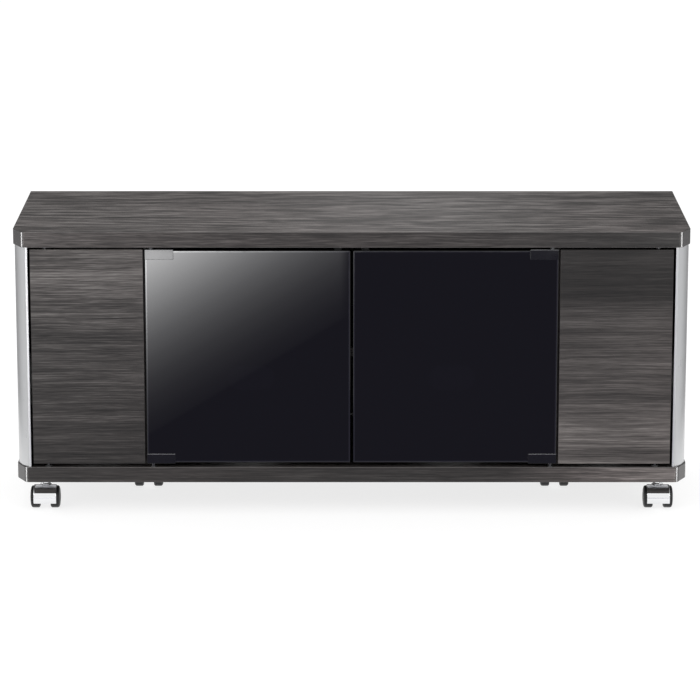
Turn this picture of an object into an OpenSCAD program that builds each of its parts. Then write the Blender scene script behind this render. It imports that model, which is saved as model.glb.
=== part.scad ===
// Low media cabinet on six twin-wheel casters.
// Two smoked glass doors in the middle, a wood door at each side,
// aluminium corner posts at the front, open bays behind the doors.
// Frame: X to the right, Y to the back, Z up.
// Origin: middle of the footprint, on the floor.

/* [Overall] */
// Overall width
body_w = 1200; // [1100:10:1300]
// Overall depth
body_d = 400; // [390:5:450]
// Clear height of the bays between base board and top board
bay_h = 400; // [380:5:440]

/* [Boards] */
// Thickness of the top board and the base board
board_t = 28; // [26:1:34]
// Thickness of each side panel
side_t = 18; // [15:1:18]
// Thickness of each partition
partition_t = 16; // [15:1:17]
// Distance from the middle to the centre of each partition
partition_x = 366.5; // [340:0.5:380]
// Thickness of the back panel
back_t = 4; // [3:0.5:5]
// Thickness of the shelves
shelf_t = 16; // [15:1:20]
// Height of the shelf undersides above the base board
shelf_z = 196; // [164:32:228]

/* [Front corners] */
// How far the corner facet cuts in from the side
cut_w = 17.5; // [15:0.5:19]
// How far the corner facet cuts back from the front
cut_d = 34.7; // [30:0.1:36]
// Radius where the facet meets the front edge
front_r = 10.5; // [6:0.5:11]
// Radius where the facet meets the side edge
side_r = 16; // [10:1:20]
// Distance of the post's inner edge from the cabinet's side
post_w = 27.6; // [27:0.1:29]
// Wall thickness of the post extrusion
post_wall = 1.8; // [1.4:0.1:2.2]

/* [Wood doors] */
// Thickness of the wood door panels
door_t = 16; // [15:0.5:17]
// Gap above the wood doors
door_gap_top = 4; // [3.5:0.5:6]
// Gap below the wood doors
door_gap_bottom = 6; // [5:0.5:8]
// Distance from the door's outer edge to its pivot
door_pivot_in = 26.3; // [24:0.1:28]

/* [Glass doors] */
// Thickness of the glass
glass_t = 5; // [4:0.5:5]
// Gap above the glass
glass_gap_top = 6.2; // [5.8:0.1:8]
// Gap below the glass
glass_gap_bottom = 8.7; // [8:0.1:10]
// Distance from the glass's outer edge to its pivot
glass_pivot_in = 10.3; // [9:0.1:11]
// Width of a hinge clamp
clamp_w = 50.5; // [44:0.5:54]
// Height of a hinge clamp on the glass
clamp_h = 15.5; // [13:0.5:18]

/* [Casters] */
// Height of a caster from the floor to the base board
caster_h = 60; // [58:1:64]
// Wheel radius
wheel_r = 20; // [19:0.5:20]
// Half the overall width across the two wheels
wheel_out = 26.5; // [25.5:0.5:28]
// Half the gap between the two wheels
wheel_in = 9.7; // [9.5:0.1:10.5]
// Distance from the swivel stud to the axle
trail = 12; // [11:0.5:13]
// Swivel positions left and right of the middle, corner casters
caster_x = 552.5; // [490:0.5:552.5]
// Swivel positions left and right of the middle, middle casters
caster_mid_x = 374; // [340:1:390]

/* [Hidden] */
hw = body_w / 2;
hd = body_d / 2;
yf = -hd;                        // front plane
zb = caster_h;                   // underside of the base board
z0 = caster_h + board_t;         // floor of the bays
z1 = z0 + bay_h;                 // ceiling of the bays
zt = z1 + board_t;               // top surface

side_x = hw - 2.5;               // outer face of the side panels and posts
side_in = side_x - side_t;       // inner face of the side panels
part_in = partition_x - partition_t / 2;
part_out = partition_x + partition_t / 2;
y_part = yf + 22;                // front edge of the partitions
y_side = yf + 40.2;              // front edge of the side panels
y_back = hd - 2 - back_t;        // front face of the back panel

door_out = hw - post_w - 4.1;    // outer edge of a wood door
door_in = partition_x + 2.2;     // inner edge of a wood door
door_y = yf + 1.5;               // front face of a wood door
door_z0 = z0 + door_gap_bottom;
door_z1 = z1 - door_gap_top;
door_px = door_out - door_pivot_in;
door_py = door_y + door_t / 2;

glass_out = partition_x - 1.7;
glass_in = 2.8;
glass_y = yf + 2.5;              // front face of the glass
glass_z0 = z0 + glass_gap_bottom;
glass_z1 = z1 - glass_gap_top;
glass_px = glass_out - glass_pivot_in;
glass_py = glass_y + glass_t / 2;

pin_r = 3;                       // pivot pins
bush_r = 3.05;                   // bores of the pivot bushes
latch_x_wood = door_in + 19.3;   // push latches of the wood doors
latch_x_glass = 24;              // push latches of the glass doors
latch_z = z1 - 14.5;             // axis of the plungers
hole_y = [y_side + 36, y_back - 40];   // columns of shelf pin holes
hole_y_mid = [y_part + 44, y_back - 40];
shelf_top = z0 + shelf_z + shelf_t;
pin_z = z0 + shelf_z - 2.5;      // shelf pins carry the shelves on top

front_sy = yf + 52 + trail;      // swivel studs, front, middle, rear
mid_sy = yf + 200 + trail;
rear_sy = hd - 52 - trail;

// ---------- helpers ----------

function unit(v) = v / norm(v);
// tangent length, arc centre and tangent points of a rounded corner a-b-c
function half_angle(a, b, c) = acos(unit(a - b) * unit(c - b)) / 2;
function tan_pt(a, b, c, r) = b + unit(a - b) * r / tan(half_angle(a, b, c));
function arc_c(a, b, c, r) = b + unit(unit(a - b) + unit(c - b)) * r / sin(half_angle(a, b, c));

// what has to come off the sharp corner a-b-c to round it
module corner_cut(a, b, c, r) {
  difference() {
    polygon([tan_pt(a, b, c, r), b + unit(b - arc_c(a, b, c, r)) * 3, tan_pt(c, b, a, r)]);
    translate(arc_c(a, b, c, r)) circle(r = r, $fn = 96);
  }
}

// box from its low corner to its high corner
module bx(p, q) { translate(p) cube(q - p); }

module both_sides() { children(); mirror([1, 0, 0]) children(); }
module side(s) { if (s < 0) mirror([1, 0, 0]) children(); else children(); }

// upright cylinder at x, y from z = a to z = b
module rod(x, y, a, b, r, fn = 48) { translate([x, y, a]) cylinder(r = r, h = b - a, $fn = fn); }
// cylinder along X from x = a to x = b
module xrod(a, b, y, z, r, fn = 48) { translate([a, y, z]) rotate([0, 90, 0]) cylinder(r = r, h = b - a, $fn = fn); }
// cylinder along Y from y = a to y = b
module yrod(x, a, b, z, r, fn = 48) { translate([x, a, z]) rotate([-90, 0, 0]) cylinder(r = r, h = b - a, $fn = fn); }

// ---------- boards ----------

// right-hand front corner of the boards, points of the facet
ca = [hw, hd];
cb = [hw, yf + cut_d];
cc = [hw - cut_w, yf];
cd = [0, yf];

module board_corner_cuts() {
  corner_cut(ca, cb, cc, side_r);
  corner_cut(cb, cc, cd, front_r);
}

module board(z) {
  translate([0, 0, z]) linear_extrude(height = board_t) difference() {
    polygon([[-hw, hd], ca, cb, cc, [-cc[0], cc[1]], [-cb[0], cb[1]]]);
    board_corner_cuts();
    mirror([1, 0]) board_corner_cuts();
  }
}

// x, y of every carcass joint under the top board and through the base board
side_joint_y = [y_side + 30, y_back - 30];
part_joint_y = [y_part + 30, y_back - 30];

// where a post screw goes, middle of the post's screw port
post_port = [side_x - 14, yf + 29];

module screw_holes_up(z, h, r) {
  both_sides() {
    for (y = side_joint_y) rod(side_x - side_t / 2, y, z, z + h, r);
    for (y = part_joint_y) rod(partition_x, y, z, z + h, r);
    rod(post_port[0], post_port[1], z, z + h, r);
  }
}

module top_board() color([0.33, 0.31, 0.31]) difference() {
  board(z1);
  both_sides() {
    rod(glass_px, glass_py, z1 - 1, z1 + 9, 4.2);
    rod(door_px, door_py, z1 - 1, z1 + 9, 4.2);
    for (y = side_joint_y) rod(side_x - side_t / 2, y, z1 - 1, z1 + 11, 3.1);
    for (y = part_joint_y) rod(partition_x, y, z1 - 1, z1 + 11, 3.1);
  }
}

module base_board() color([0.3, 0.29, 0.28]) difference() {
  board(zb);
  both_sides() {
    rod(glass_px, glass_py, z0 - 9, z0 + 1, 4.2);
    rod(door_px, door_py, z0 - 9, z0 + 1, 4.2);
  }
  screw_holes_up(zb - 1, board_t + 2, 3.1);
  screw_holes_up(zb - 1, 5, 5.1);
  for (p = caster_spots) for (i = [-1, 1]) for (j = [-1, 1])
    rod(p[0] + 15 * i, p[1] + 15 * j, zb - 1, zb + 14, 1.8, 24);
}

// ---------- uprights ----------

module pin_hole_rows(x, deep, ys) {
  for (y = ys) for (k = [-2:2]) xrod(x, x + deep, y, pin_z + 32 * k, 2.55, 32);
}

// heights of the back panel screws
back_screw_z = [z0 + 24, z0 + bay_h / 2, z1 - 24];

module side_panel_right() difference() {
  bx([side_in, y_side, z0], [side_x, y_back, z1]);
  pin_hole_rows(side_in - 1, 10, hole_y);
  for (y = side_joint_y) {
    rod(side_x - side_t / 2, y, z0 - 1, z0 + 34, 3.1);
    rod(side_x - side_t / 2, y, z1 - 26, z1 + 1, 3.1);
    xrod(side_in - 1, side_in + 12, y, z1 - 24, 7.6);
  }
  for (z = back_screw_z) yrod(side_x - side_t / 2, y_back - 10.3, y_back + 1, z, 1.75, 24);
}
module left_side_panel() color([0.3, 0.28, 0.28]) side(-1) side_panel_right();
module right_side_panel() color([0.3, 0.28, 0.28]) side(1) side_panel_right();

module partition_right() difference() {
  bx([part_in, y_part, z0], [part_out, y_back, z1]);
  pin_hole_rows(part_out - 7, 8, hole_y);
  pin_hole_rows(part_in - 1, 8, hole_y_mid);
  for (y = part_joint_y) {
    rod(partition_x, y, z0 - 1, z0 + 34, 3.1);
    rod(partition_x, y, z1 - 26, z1 + 1, 3.1);
    xrod(part_out - 12, part_out + 1, y, z1 - 24, 7.6);
  }
  for (z = back_screw_z) yrod(partition_x, y_back - 10.3, y_back + 1, z, 1.75, 24);
}
module left_partition() color([0.29, 0.28, 0.28]) side(-1) partition_right();
module right_partition() color([0.29, 0.28, 0.28]) side(1) partition_right();

// cable outlets: x, z, half width, half height of each oblong hole
outlets = [[-hw + 122, z0 + 70, 34, 20], [hw - 122, z0 + 70, 34, 20],
           [-190, z0 + 70, 44, 24], [190, z0 + 70, 44, 24]];

module oblong(o, y0, y1, grow = 0) {
  w = o[2] + grow; h = o[3] + grow;
  bx([o[0] - w + h, y0, o[1] - h], [o[0] + w - h, y1, o[1] + h]);
  yrod(o[0] - w + h, y0, y1, o[1], h, 64);
  yrod(o[0] + w - h, y0, y1, o[1], h, 64);
}

// x, z of every screw through the back panel
back_screws = [for (x = [-side_x + side_t / 2, -partition_x, partition_x, side_x - side_t / 2])
               for (z = back_screw_z) [x, z]];

module back_panel() color([0.16, 0.16, 0.16]) difference() {
  bx([-side_x + 3, y_back, z0 + 0.5], [side_x - 3, y_back + back_t, z1 - 0.5]);
  for (o = outlets) oblong(o, y_back - 1, y_back + back_t + 1);
  for (s = back_screws) yrod(s[0], y_back - 1, y_back + back_t + 1, s[1], 1.8, 24);
}

// ---------- corner posts ----------

// outer face of the post: one long shallow arc from the side to the front lip
pa = [side_x, yf + 38];
pb = [hw - 23.2, yf + 2.6];
post_arc_r = 72;
post_mid = (pa + pb) / 2;
post_dir = unit(pb - pa);
// unit normal of the chord, turned into the cabinet
function post_nrm() = let (n = [-post_dir[1], post_dir[0]]) n * (n * [-1, 1] > 0 ? 1 : -1);
post_c = post_mid + post_nrm() * sqrt(post_arc_r * post_arc_r - pow(norm(pb - pa) / 2, 2));

// solid outline of the post, pulled in by w on every face
module post_2d(w = 0) {
  ix = hw - post_w;
  intersection() {
    translate(post_c) circle(r = post_arc_r - w, $fn = 360);
    polygon([[ix + w, yf + 2.6 + w], [side_x + 6, yf + 2.6 + w],
             [side_x + 6, yf + 40 - w], [ix + w, yf + 40 - w]]);
    translate([0, -1000]) square([side_x - w, 2000]);
  }
  // flat front lip beside the arc
  if (w == 0) polygon([[ix, yf + 2.6], [pb[0] + 0.4, yf + 2.6], [pb[0] + 0.4, yf + 7], [ix, yf + 7]]);
}

module post_right() {
  translate([0, 0, z0]) linear_extrude(height = bay_h) difference() {
    union() {
      difference() { post_2d(); post_2d(post_wall); }
      intersection() { translate(post_port) circle(r = 5.4, $fn = 64); post_2d(); }
      // webs that hold the screw port
      intersection() {
        union() {
          translate([post_port[0], post_port[1] - 0.9]) square([40, 1.8]);
          translate([post_port[0] - 40, post_port[1] - 0.9]) square([40, 1.8]);
        }
        post_2d();
      }
    }
    translate(post_port) circle(r = 3.1, $fn = 48);
  }
}
module left_corner_post() color([0.74, 0.75, 0.76]) side(-1) post_right();
module right_corner_post() color([0.74, 0.75, 0.76]) side(1) post_right();

// ---------- shelves ----------

module centre_shelf() color([0.3, 0.29, 0.28])
  bx([-part_in + 1.2, y_part + 10, z0 + shelf_z], [part_in - 1.2, y_back - 2, shelf_top]);

module side_shelf() bx([part_out + 1.2, y_side + 6, z0 + shelf_z], [side_in - 1.2, y_back - 2, shelf_top]);
module left_shelf() color([0.3, 0.29, 0.28]) side(-1) side_shelf();
module right_shelf() color([0.3, 0.29, 0.28]) side(1) side_shelf();

// peg in the panel and a round head under the shelf
module shelf_pin(x, y, dir) {
  translate([x, y, pin_z]) rotate([0, 90 * dir, 0]) {
    translate([0, 0, -6.5]) cylinder(r = 2.5, h = 15.5, $fn = 32);
    cylinder(r = 2.5, h = 2, $fn = 32);
  }
}
module shelf_pins() color("silver") both_sides() {
  for (y = hole_y) { shelf_pin(side_in, y, -1); shelf_pin(part_out, y, 1); }
  for (y = hole_y_mid) shelf_pin(part_in, y, -1);
}

// ---------- carcass fasteners ----------

module carcass_screws() color([0.55, 0.55, 0.56]) {
  both_sides() {
    for (y = side_joint_y) carcass_screw(side_x - side_t / 2, y);
    for (y = part_joint_y) carcass_screw(partition_x, y);
    carcass_screw(post_port[0], post_port[1]);
  }
}
// countersunk screw, head flush with the underside, hexagon socket
module carcass_screw(x, y) difference() {
  union() { rod(x, y, zb + 0.2, zb + 3.9, 5); rod(x, y, zb + 3.8, zb + board_t + 32, 3); }
  rod(x, y, zb, zb + 2.6, 2, 6);
}

// cam body in the panel, bolt up into the top board
module cam_lock(x, y, face) {
  difference() {
    union() {
      xrod(face, face + 11.9, y, z1 - 24, 7.5);
      rod(x, y, z1 - 24, z1 + 10, 3);
    }
    xrod(face - 1, face + 1.5, y, z1 - 24, 2.2, 24);
  }
}
module cam_locks() color([0.62, 0.62, 0.63]) both_sides() {
  for (y = side_joint_y) cam_lock(side_x - side_t / 2, y, side_in);
  for (y = part_joint_y) mirror([1, 0, 0]) cam_lock(-partition_x, y, -part_out);
}

module back_panel_screws() color([0.5, 0.5, 0.5]) for (s = back_screws) difference() {
  union() {
    yrod(s[0], y_back - 10, y_back + back_t + 0.05, s[1], 1.7, 24);
    yrod(s[0], y_back + back_t, y_back + back_t + 1.6, s[1], 3.6, 32);
  }
  bx([s[0] - 2, y_back + back_t + 0.9, s[1] - 0.4], [s[0] + 2, y_back + back_t + 3, s[1] + 0.4]);
  bx([s[0] - 0.4, y_back + back_t + 0.9, s[1] - 2], [s[0] + 0.4, y_back + back_t + 3, s[1] + 2]);
}

// ---------- pivots ----------

// bush pressed into a board, with a flange that the pin passes through
module bush(x, y, z, up, flange_r, flange_t) {
  translate([x, y, z]) mirror([0, 0, up > 0 ? 1 : 0]) difference() {
    union() {
      translate([0, 0, -8.6]) cylinder(r = 4.15, h = 8.7, $fn = 48);
      cylinder(r = flange_r, h = flange_t, $fn = 48);
    }
    translate([0, 0, -7.6]) cylinder(r = bush_r, h = 20, $fn = 48);
  }
}
module pivot_bushes() color([0.68, 0.68, 0.69]) both_sides() {
  bush(glass_px, glass_py, z0, -1, 4.8, 1.6);
  bush(glass_px, glass_py, z1, 1, 4.8, 1.4);
  bush(door_px, door_py, z0, -1, 6.2, 2);
  bush(door_px, door_py, z1, 1, 6.2, 1.4);
}

// clamp over the glass edge, with its pivot pin; up = 1 for the upper one
module glass_clamp(up) {
  x1 = glass_out + 0.5;
  x0 = x1 - clamp_w;
  edge = up > 0 ? glass_z1 : glass_z0;
  translate([0, 0, edge]) mirror([0, 0, up > 0 ? 1 : 0]) {
    difference() {
      union() {
        // front plate, back block and the web over the glass edge
        bx([x0, glass_y - 1.5, -2.2], [x1, glass_y - 0.3, clamp_h]);
        bx([x0, glass_y + glass_t + 0.3, -2.2], [x1, glass_y + glass_t + 4.2, clamp_h]);
        bx([x0, glass_y - 1.5, -2.2], [x1, glass_y + glass_t + 4.2, -0.3]);
      }
      for (x = [x0 + 12, x0 + 32])
        yrod(x, glass_y + glass_t + 0.2, glass_y + glass_t + 5, clamp_h - 6.5, 2.05, 32);
    }
    // clamp screws with a socket
    for (x = [x0 + 12, x0 + 32]) difference() {
      yrod(x, glass_y + glass_t + 0.3, glass_y + glass_t + 4, clamp_h - 6.5, 2.05, 32);
      yrod(x, glass_y + glass_t + 2.5, glass_y + glass_t + 5, clamp_h - 6.5, 1, 6);
    }
    rod(glass_px, glass_py, -14.2 + (up > 0 ? 0.8 : 0), -2.1, pin_r);
  }
}
module glass_clamps_right() { glass_clamp(1); glass_clamp(-1); }
module left_glass_clamps() color([0.2, 0.2, 0.21]) side(-1) glass_clamps_right();
module right_glass_clamps() color([0.2, 0.2, 0.21]) side(1) glass_clamps_right();

module glass_pane_right() bx([glass_in, glass_y, glass_z0], [glass_out, glass_y + glass_t, glass_z1]);
module left_glass_pane() color([0.07, 0.07, 0.09, 0.85]) side(-1) glass_pane_right();
module right_glass_pane() color([0.07, 0.07, 0.09, 0.85]) side(1) glass_pane_right();

// steel disc bonded to the inner face of a glass door
module glass_strike_right() yrod(latch_x_glass, glass_y + glass_t + 0.02, glass_y + glass_t + 1, latch_z, 7);
module left_glass_strike() color("silver") side(-1) glass_strike_right();
module right_glass_strike() color("silver") side(1) glass_strike_right();

// pivot of a wood door: plate let into the edge, two screws, pin
module door_pivot(up) {
  edge = up > 0 ? door_z1 : door_z0;
  gap = up > 0 ? door_gap_top : door_gap_bottom;
  translate([door_px, door_py, edge]) mirror([0, 0, up > 0 ? 1 : 0]) {
    difference() {
      bx([-16, -4.5, 0], [24, 4.5, 2.4]);
      for (x = [-10, 16]) rod(x, 0, -1, 4, 1.8, 24);
    }
    for (x = [-10, 16]) rod(x, 0, 0.4, 14, 1.8, 24);
    rod(0, 0, -gap - 6.6, 0.1, pin_r);
  }
}
module door_pivots_right() { door_pivot(1); door_pivot(-1); }
module left_door_pivots() color([0.6, 0.6, 0.61]) side(-1) door_pivots_right();
module right_door_pivots() color([0.6, 0.6, 0.61]) side(1) door_pivots_right();

module door_panel_right() difference() {
  bx([door_in, door_y, door_z0], [door_out, door_y + door_t, door_z1]);
  for (e = [[door_z0, 0], [door_z1, 1]]) translate([door_px, door_py, e[0]]) mirror([0, 0, e[1]]) {
    bx([-16.1, -4.6, -1], [24.1, 4.6, 2.45]);
    for (x = [-10, 16]) rod(x, 0, 1, 14.5, 1.9, 24);
  }
}
module left_door_panel() color([0.29, 0.28, 0.27]) side(-1) door_panel_right();
module right_door_panel() color([0.29, 0.28, 0.27]) side(1) door_panel_right();

module door_strike_right() {
  yrod(latch_x_wood, door_y + door_t + 0.02, door_y + door_t + 1.2, latch_z, 7);
}
module left_door_strike() color("silver") side(-1) door_strike_right();
module right_door_strike() color("silver") side(1) door_strike_right();

// ---------- push latches ----------

// housing under the top board with a fixing foot at the back
module latch_housing(x, y) difference() {
  union() {
    bx([x - 7, y, z1 - 21.5], [x + 7, y + 62, z1]);
    bx([x - 7, y + 61, z1 - 3], [x + 7, y + 76, z1]);
  }
  yrod(x, y - 1, y + 52, latch_z, 4.6);
  rod(x, y + 69, z1 - 4, z1 + 1, 1.9, 24);
}
latch_y_glass = glass_y + glass_t + 4.5;
latch_y_wood = door_y + door_t + 4.5;
module push_latch_housings() color([0.13, 0.13, 0.13]) both_sides() {
  latch_housing(latch_x_glass, latch_y_glass);
  latch_housing(latch_x_wood, latch_y_wood);
}

// plunger with its magnet face just clear of the strike
module plunger(x, face) {
  yrod(x, face + 3.01, face + 44, latch_z, 4.2);
  yrod(x, face, face + 3.02, latch_z, 4.5);
}
module left_glass_plunger() color([0.75, 0.75, 0.75]) side(-1) plunger(latch_x_glass, glass_y + glass_t + 1.2);
module right_glass_plunger() color([0.75, 0.75, 0.75]) side(1) plunger(latch_x_glass, glass_y + glass_t + 1.2);
module left_door_plunger() color([0.75, 0.75, 0.75]) side(-1) plunger(latch_x_wood, door_y + door_t + 1.4);
module right_door_plunger() color([0.75, 0.75, 0.75]) side(1) plunger(latch_x_wood, door_y + door_t + 1.4);

// ---------- casters ----------

FL = [-caster_x, front_sy];
FR = [caster_x, front_sy];
ML = [-caster_mid_x, mid_sy];
MR = [caster_mid_x, mid_sy];
RL = [-caster_x, rear_sy];
RR = [caster_x, rear_sy];
caster_spots = [FL, FR, ML, MR, RL, RR];

stud_r = 4;
hood_r = wheel_r + 2;
hood_in = wheel_r + 0.6;
hood_w = 20.5;                    // half the width of the hood
hood_open = wheel_r * 0.6;        // height of the hood's lower edge above the floor
web_w = wheel_in - 0.8;           // half the width of the body between the wheels
neck_top = zb - 8.4;

// square plate, pressed bearing cup and riveted swivel stud
module caster_mount(p) {
  difference() {
    bx([p[0] - 20, p[1] - 20, zb - 2.2], [p[0] + 20, p[1] + 20, zb]);
    for (i = [-1, 1]) for (j = [-1, 1]) rod(p[0] + 15 * i, p[1] + 15 * j, zb - 3, zb + 1, 1.9, 24);
  }
  rod(p[0], p[1], zb - 8, zb - 2.1, 12.5, 64);
  rod(p[0], p[1], zb - 26, zb - 7.9, stud_r);
}
module caster_mounts() color([0.7, 0.7, 0.71]) for (p = caster_spots) caster_mount(p);

module caster_mount_screws() color([0.6, 0.6, 0.61])
  for (p = caster_spots) for (i = [-1, 1]) for (j = [-1, 1]) difference() {
    union() {
      rod(p[0] + 15 * i, p[1] + 15 * j, zb - 2.3, zb + 13, 1.75, 24);
      rod(p[0] + 15 * i, p[1] + 15 * j, zb - 3.8, zb - 2.25, 3.4, 32);
    }
    bx([p[0] + 15 * i - 2, p[1] + 15 * j - 0.4, zb - 5], [p[0] + 15 * i + 2, p[1] + 15 * j + 0.4, zb - 3.1]);
    bx([p[0] + 15 * i - 0.4, p[1] + 15 * j - 2, zb - 5], [p[0] + 15 * i + 0.4, p[1] + 15 * j + 2, zb - 3.1]);
  }

// hood over both wheels, body between them, neck for the swivel stud
module caster_hood(p) {
  ay = p[1] - trail;
  x = p[0];
  difference() {
    union() {
      // shell over the wheels, open at the bottom and low at the back
      difference() {
        xrod(x - hood_w, x + hood_w, ay, wheel_r, hood_r, 96);
        xrod(x - hood_w - 1, x + hood_w + 1, ay, wheel_r, hood_in, 96);
        bx([x - 30, ay - 30, -5], [x + 30, ay + 40, hood_open]);
        bx([x - 30, ay, -5], [x + 30, ay + 40, wheel_r * 1.1]);
      }
      // body between the wheels
      difference() {
        xrod(x - web_w, x + web_w, ay, wheel_r, hood_in + 0.2, 96);
        bx([x - 30, ay - 30, -5], [x + 30, ay + 40, hood_open]);
      }
      // boss and neck round the stud
      rod(x, p[1], wheel_r * 0.7, neck_top, 8.6, 64);
    }
    // stud bore, and room under the stud's end
    rod(x, p[1], zb - 27, neck_top + 1, stud_r + 0.05);
    // axle bore
    xrod(x - 12, x + 12, ay, wheel_r, 2.5);
  }
}

module caster_axle(p) {
  xrod(p[0] - wheel_out + 3.4, p[0] + wheel_out - 3.4, p[1] - trail, wheel_r, 2.5);
}

// cup-shaped wheel: tread, domed outer face, hub; s = +1 for the wheel on the +X side
module caster_wheel(p, s) {
  translate([p[0], p[1] - trail, wheel_r]) rotate([0, 90 * s, 0]) difference() {
    rotate_extrude($fn = 96) polygon([
      [0, wheel_in + 0.6], [7, wheel_in + 0.6], [7, wheel_out - 4.5],
      [wheel_r - 4, wheel_out - 4.5], [wheel_r - 4, wheel_in],
      [wheel_r - 1.8, wheel_in], [wheel_r, wheel_in + 2.2],
      [wheel_r, wheel_out - 4], [wheel_r - 0.5, wheel_out - 2.4], [wheel_r - 1.7, wheel_out - 1.2],
      [wheel_r - 3.4, wheel_out - 0.6], [wheel_r - 8, wheel_out], [0, wheel_out]]);
    cylinder(r = 2.55, h = wheel_out - 3, $fn = 48);
  }
}

steel = [0.82, 0.82, 0.83];
black = [0.06, 0.06, 0.06];
module front_left_hood() color(steel) caster_hood(FL);
module front_left_axle() color([0.6, 0.6, 0.6]) caster_axle(FL);
module front_left_outer_wheel() color(black) caster_wheel(FL, -1);
module front_left_inner_wheel() color(black) caster_wheel(FL, 1);
module front_right_hood() color(steel) caster_hood(FR);
module front_right_axle() color([0.6, 0.6, 0.6]) caster_axle(FR);
module front_right_outer_wheel() color(black) caster_wheel(FR, 1);
module front_right_inner_wheel() color(black) caster_wheel(FR, -1);
module middle_left_hood() color(steel) caster_hood(ML);
module middle_left_axle() color([0.6, 0.6, 0.6]) caster_axle(ML);
module middle_left_outer_wheel() color(black) caster_wheel(ML, -1);
module middle_left_inner_wheel() color(black) caster_wheel(ML, 1);
module middle_right_hood() color(steel) caster_hood(MR);
module middle_right_axle() color([0.6, 0.6, 0.6]) caster_axle(MR);
module middle_right_outer_wheel() color(black) caster_wheel(MR, 1);
module middle_right_inner_wheel() color(black) caster_wheel(MR, -1);
module rear_left_hood() color(steel) caster_hood(RL);
module rear_left_axle() color([0.6, 0.6, 0.6]) caster_axle(RL);
module rear_left_outer_wheel() color(black) caster_wheel(RL, -1);
module rear_left_inner_wheel() color(black) caster_wheel(RL, 1);
module rear_right_hood() color(steel) caster_hood(RR);
module rear_right_axle() color([0.6, 0.6, 0.6]) caster_axle(RR);
module rear_right_outer_wheel() color(black) caster_wheel(RR, 1);
module rear_right_inner_wheel() color(black) caster_wheel(RR, -1);

top_board();
base_board();
left_side_panel();
right_side_panel();
left_partition();
right_partition();
back_panel();
left_corner_post();
right_corner_post();
centre_shelf();
left_shelf();
right_shelf();
shelf_pins();
carcass_screws();
cam_locks();
back_panel_screws();
pivot_bushes();
push_latch_housings();
caster_mounts();
caster_mount_screws();
left_glass_pane();
left_glass_clamps();
left_glass_strike();
right_glass_pane();
right_glass_clamps();
right_glass_strike();
left_door_panel();
left_door_pivots();
left_door_strike();
right_door_panel();
right_door_pivots();
right_door_strike();
left_glass_plunger();
right_glass_plunger();
left_door_plunger();
right_door_plunger();
front_left_hood();
front_left_axle();
front_left_outer_wheel();
front_left_inner_wheel();
front_right_hood();
front_right_axle();
front_right_outer_wheel();
front_right_inner_wheel();
middle_left_hood();
middle_left_axle();
middle_left_outer_wheel();
middle_left_inner_wheel();
middle_right_hood();
middle_right_axle();
middle_right_outer_wheel();
middle_right_inner_wheel();
rear_left_hood();
rear_left_axle();
rear_left_outer_wheel();
rear_left_inner_wheel();
rear_right_hood();
rear_right_axle();
rear_right_outer_wheel();
rear_right_inner_wheel();
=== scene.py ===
import bpy
import bmesh
import math
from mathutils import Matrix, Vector


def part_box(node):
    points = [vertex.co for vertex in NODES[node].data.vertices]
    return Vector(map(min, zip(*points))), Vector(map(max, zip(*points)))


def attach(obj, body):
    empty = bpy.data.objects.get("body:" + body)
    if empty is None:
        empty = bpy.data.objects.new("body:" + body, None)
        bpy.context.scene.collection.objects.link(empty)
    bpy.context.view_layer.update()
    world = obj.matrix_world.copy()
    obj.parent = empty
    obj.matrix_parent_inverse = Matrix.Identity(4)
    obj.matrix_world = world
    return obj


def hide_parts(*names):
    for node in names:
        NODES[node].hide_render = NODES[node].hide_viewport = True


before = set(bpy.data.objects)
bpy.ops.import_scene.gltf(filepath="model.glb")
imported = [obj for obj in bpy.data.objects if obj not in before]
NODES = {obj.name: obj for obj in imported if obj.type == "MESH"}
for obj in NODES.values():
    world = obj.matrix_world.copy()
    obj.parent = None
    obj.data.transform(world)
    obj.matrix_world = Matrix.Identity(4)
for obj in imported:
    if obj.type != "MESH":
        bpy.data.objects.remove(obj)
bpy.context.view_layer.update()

MM = 0.001


# ---------------------------------------------------------------- mesh helpers

def unit2(v):
    l = math.hypot(v[0], v[1]) or 1.0
    return (v[0] / l, v[1] / l)


def area2(pts):
    return 0.5 * sum(p[0] * q[1] - q[0] * p[1] for p, q in zip(pts, pts[1:] + pts[:1]))


def ccw(pts):
    return list(pts) if area2(pts) > 0 else list(reversed(pts))


def inset(pts, d):
    """A convex outline pulled in by d, corner by corner."""
    n = len(pts)
    out = []
    for i in range(n):
        a, b, c = pts[i - 1], pts[i], pts[(i + 1) % n]
        e1 = unit2((b[0] - a[0], b[1] - a[1]))
        e2 = unit2((c[0] - b[0], c[1] - b[1]))
        n1, n2 = (-e1[1], e1[0]), (-e2[1], e2[0])
        k = 1.0 + n1[0] * n2[0] + n1[1] * n2[1]
        k = max(k, 0.2)
        out.append((b[0] + (n1[0] + n2[0]) / k * d, b[1] + (n1[1] + n2[1]) / k * d))
    return out


def corner_arc(a, b, c, r, n):
    """Points of the arc that rounds corner a-b-c."""
    u1 = unit2((a[0] - b[0], a[1] - b[1]))
    u2 = unit2((c[0] - b[0], c[1] - b[1]))
    half = math.acos(max(-1, min(1, u1[0] * u2[0] + u1[1] * u2[1]))) / 2
    t = r / math.tan(half)
    p1 = (b[0] + u1[0] * t, b[1] + u1[1] * t)
    m = unit2((u1[0] + u2[0], u1[1] + u2[1]))
    cc = (b[0] + m[0] * r / math.sin(half), b[1] + m[1] * r / math.sin(half))
    p2 = (b[0] + u2[0] * t, b[1] + u2[1] * t)
    a1 = math.atan2(p1[1] - cc[1], p1[0] - cc[0])
    a2 = math.atan2(p2[1] - cc[1], p2[0] - cc[0])
    d = (a2 - a1 + math.pi) % (2 * math.pi) - math.pi
    return [(cc[0] + r * math.cos(a1 + d * i / n), cc[1] + r * math.sin(a1 + d * i / n)) for i in range(n + 1)]


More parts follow.
